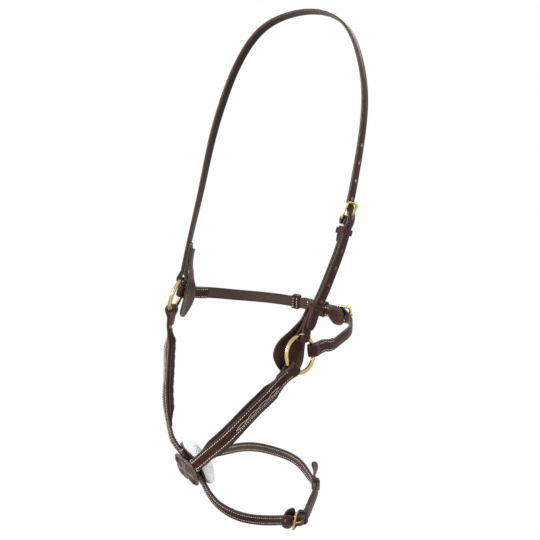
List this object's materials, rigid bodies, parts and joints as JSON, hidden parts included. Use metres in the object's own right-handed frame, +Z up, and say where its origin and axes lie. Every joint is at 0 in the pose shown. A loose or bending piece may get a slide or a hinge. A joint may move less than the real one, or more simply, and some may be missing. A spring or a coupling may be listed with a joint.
{
  "type": "noseband",
  "caption": "Crossed leather noseband with a head strap, a jaw strap, a padded nose crossing and a buckled chin strap joined by brass rings.",
  "frame": {"origin": "middle of the head strap's inner face, where it rests on the poll", "axes": "+Z up, -Y towards the nose, +X towards the horse's left (near) side"},
  "size_m": [0.2259, 0.274, 0.6536],
  "materials": {
    "havana_leather": "smooth, lightly worn",
    "lining_leather": "soft, matt",
    "felt": "soft felt",
    "brass": "polished",
    "dark_brass": "antiqued",
    "fleece": "woolly"
  },
  "bodies": {
    "headpiece": {"head_strap": "havana_leather", "cheek_strap": "havana_leather", "cheek_buckle_frame": "brass", "cheek_keeper": "havana_leather", "near_ring_safe": "havana_leather", "off_ring_safe": "havana_leather"},
    "cheek_tongue": {"cheek_buckle_tongue": "brass"},
    "cheek_runner": {"cheek_runner": "havana_leather"},
    "near_ring": {"near_ring": "brass"},
    "off_ring": {"off_ring": "brass"},
    "jaw_piece": {"jaw_strap": "havana_leather", "jaw_billet": "havana_leather", "jaw_front_keeper": "havana_leather", "jaw_rear_keeper": "havana_leather", "jaw_buckle_safe": "havana_leather", "jaw_buckle_frame": "brass"},
    "jaw_tongue": {"jaw_buckle_tongue": "brass"},
    "nosepiece": {"near_nose_strap": "havana_leather", "off_nose_strap": "havana_leather", "near_nose_lining": "lining_leather", "near_nose_filler": "felt", "off_nose_lining": "lining_leather", "off_nose_filler": "felt", "rosette": "havana_leather", "crossing_backing": "havana_leather", "lower_rivet": "dark_brass", "upper_rivet": "dark_brass", "fleece_pad": "fleece", "chin_buckle_frame": "brass", "chin_keeper": "havana_leather", "chin_buckle_safe": "havana_leather"},
    "chin_tongue": {"chin_buckle_tongue": "brass"},
    "chin_runner": {"chin_runner": "havana_leather"}
  },
  "joints": [
    {"name": "near_ring_turn", "type": "hinge", "parent": "headpiece", "child": "near_ring", "pos_m": [0.09476, -0.1494, -0.36894], "axis": [0.9724, -0.1003, 0.2105], "continuous": true},
    {"name": "off_ring_turn", "type": "hinge", "parent": "headpiece", "child": "off_ring", "pos_m": [-0.09524, -0.1654, -0.33794], "axis": [-0.8721, -0.4009, 0.2807], "continuous": true},
    {"name": "jaw_strap_swing", "type": "hinge", "parent": "headpiece", "child": "jaw_piece", "pos_m": [0.09476, -0.1494, -0.36894], "axis": [0.9836, 0.0828, -0.1605], "range_deg": [-5, 6]},
    {"name": "nosepiece_swing", "type": "hinge", "parent": "headpiece", "child": "nosepiece", "pos_m": [0.09476, -0.1494, -0.36894], "axis": [0.9836, 0.0828, -0.1605], "range_deg": [-2, 6]},
    {"name": "cheek_tongue_lift", "type": "hinge", "parent": "headpiece", "child": "cheek_tongue", "pos_m": [0.1036, -0.08136, -0.21932], "axis": [-0.025, 0.9169, -0.3984], "range_deg": [0, 3]},
    {"name": "jaw_tongue_lift", "type": "hinge", "parent": "jaw_piece", "child": "jaw_tongue", "pos_m": [0.04495, -0.01964, -0.36857], "axis": [-0.0392, 0.0196, 0.999], "range_deg": [0, 3]},
    {"name": "chin_tongue_lift", "type": "hinge", "parent": "nosepiece", "child": "chin_tongue", "pos_m": [0.04985, -0.0987, -0.63371], "axis": [-0.0795, 0.3576, 0.9305], "range_deg": [0, 3]},
    {"name": "cheek_runner_slide", "type": "slide", "parent": "headpiece", "child": "cheek_runner", "axis": [-0.1431, -0.4593, -0.8767], "range_m": [-0.01, 0.004]},
    {"name": "chin_runner_slide", "type": "hinge", "parent": "nosepiece", "child": "chin_runner", "pos_m": [-0.02455, -0.06367, -0.63226], "axis": [0.0248, -0.0116, 0.9996], "range_deg": [-3, 5]}
  ]
}
